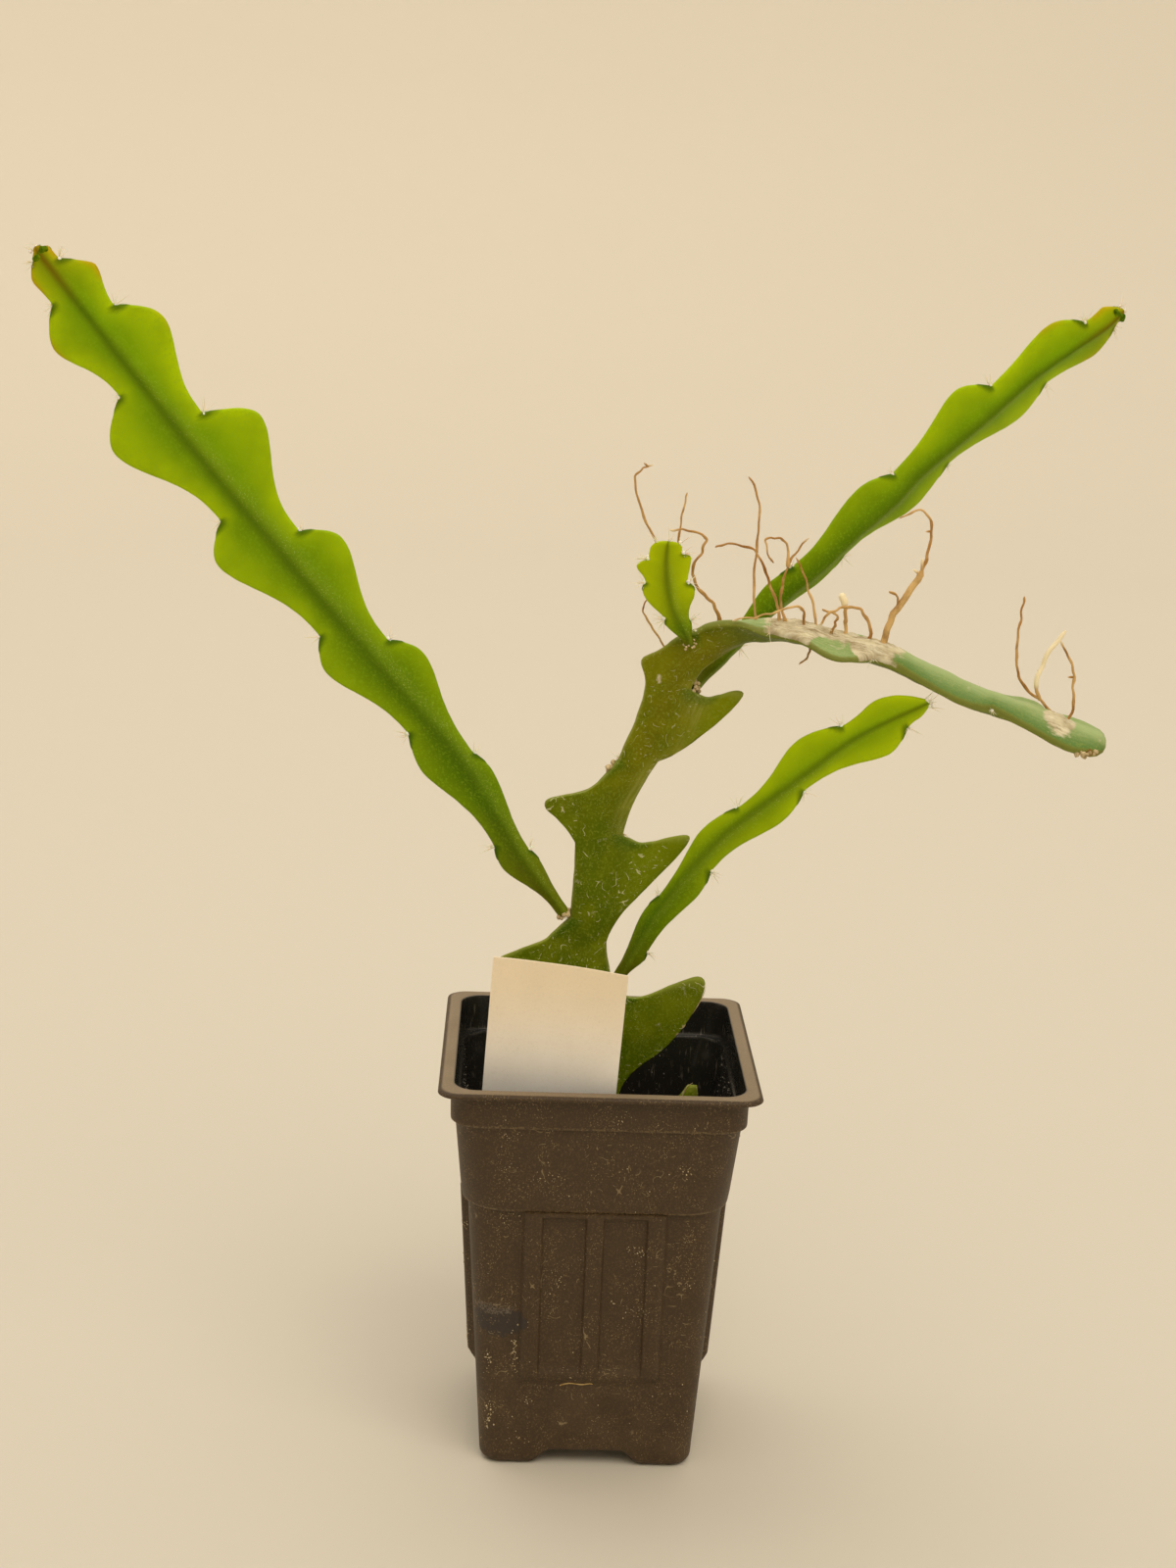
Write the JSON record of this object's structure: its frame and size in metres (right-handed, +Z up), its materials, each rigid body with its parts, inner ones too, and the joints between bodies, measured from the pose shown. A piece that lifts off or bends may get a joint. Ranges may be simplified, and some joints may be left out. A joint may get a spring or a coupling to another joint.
{
  "type": "potted ric rac cactus",
  "caption": "Square nursery pot of soil with a flat, deeply toothed cactus: an upright stem that arches over, side branches, aerial roots and a bare label card.",
  "frame": {"origin": "middle of the whole plant's box, on the surface that the pot stands on; the pot's axis is 6.3 mm to the +X side of it", "axes": "+Z up; the row's front is -Y, the side with the label card; +X is to the viewer's right, the side that the main stem arches to"},
  "size_m": [0.3061, 0.09, 0.3419],
  "materials": {
    "pot_plastic": "dull moulded plastic, dusty and scuffed",
    "soil_earth": "loose peat and bark compost",
    "label_paper": "matt uncoated card",
    "old_stem_green": "waxy green skin with corky patches",
    "young_stem_green": "waxy yellow-green young skin"
  },
  "bodies": {
    "root": {"pot": "pot_plastic", "soil": "soil_earth", "label_card": "label_paper", "main_stem": "old_stem_green", "left_branch": "young_stem_green", "right_branch": "young_stem_green", "low_branch": "young_stem_green", "top_shoot": "young_stem_green"}
  },
  "joints": []
}
